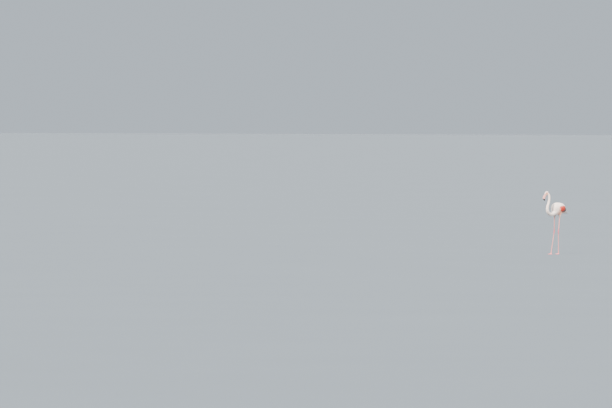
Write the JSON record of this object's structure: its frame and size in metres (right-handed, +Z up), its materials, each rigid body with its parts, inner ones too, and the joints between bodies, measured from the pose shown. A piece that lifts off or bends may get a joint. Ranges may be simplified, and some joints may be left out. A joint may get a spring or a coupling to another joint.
{
  "type": "greater flamingo figure",
  "caption": "Life-size greater flamingo standing mid-step, neck in a low S, head turned aside with the bill pointing down, wings folded.",
  "frame": {"origin": "on the floor, in the middle of the bird's footprint box", "axes": "+Z up, the bird faces -Y, its left side is +X"},
  "size_m": [0.2154, 0.7184, 1.0406],
  "materials": {
    "plumage": "soft white feathers with a pink blush",
    "wing_plumage": "pale pink feathers over coral coverts and black-brown flight feathers",
    "bill_horn": "smooth pink horn with a black tip",
    "eye": "wet, pale yellow iris round a black pupil",
    "leg_skin": "scaly pink skin",
    "claw_horn": "dark horn"
  },
  "bodies": {
    "root": {"trunk": "plumage", "tail": "plumage", "neck_base": "plumage", "neck_lower": "plumage", "neck_middle": "plumage", "neck_upper": "plumage", "neck_top": "plumage", "head": "plumage", "thigh_left": "plumage", "thigh_right": "plumage", "wing_left": "wing_plumage", "wing_right": "wing_plumage", "bill_upper": "bill_horn", "bill_lower": "bill_horn", "eye_left": "eye", "eye_right": "eye", "shank_left": "leg_skin", "shank_right": "leg_skin", "ankle_left": "leg_skin", "ankle_right": "leg_skin", "tarsus_left": "leg_skin", "tarsus_right": "leg_skin", "foot_left": "leg_skin", "foot_right": "leg_skin", "claw_inner_left": "claw_horn", "claw_middle_left": "claw_horn", "claw_outer_left": "claw_horn", "claw_hind_left": "claw_horn", "claw_inner_right": "claw_horn", "claw_middle_right": "claw_horn", "claw_outer_right": "claw_horn", "claw_hind_right": "claw_horn"}
  },
  "joints": []
}
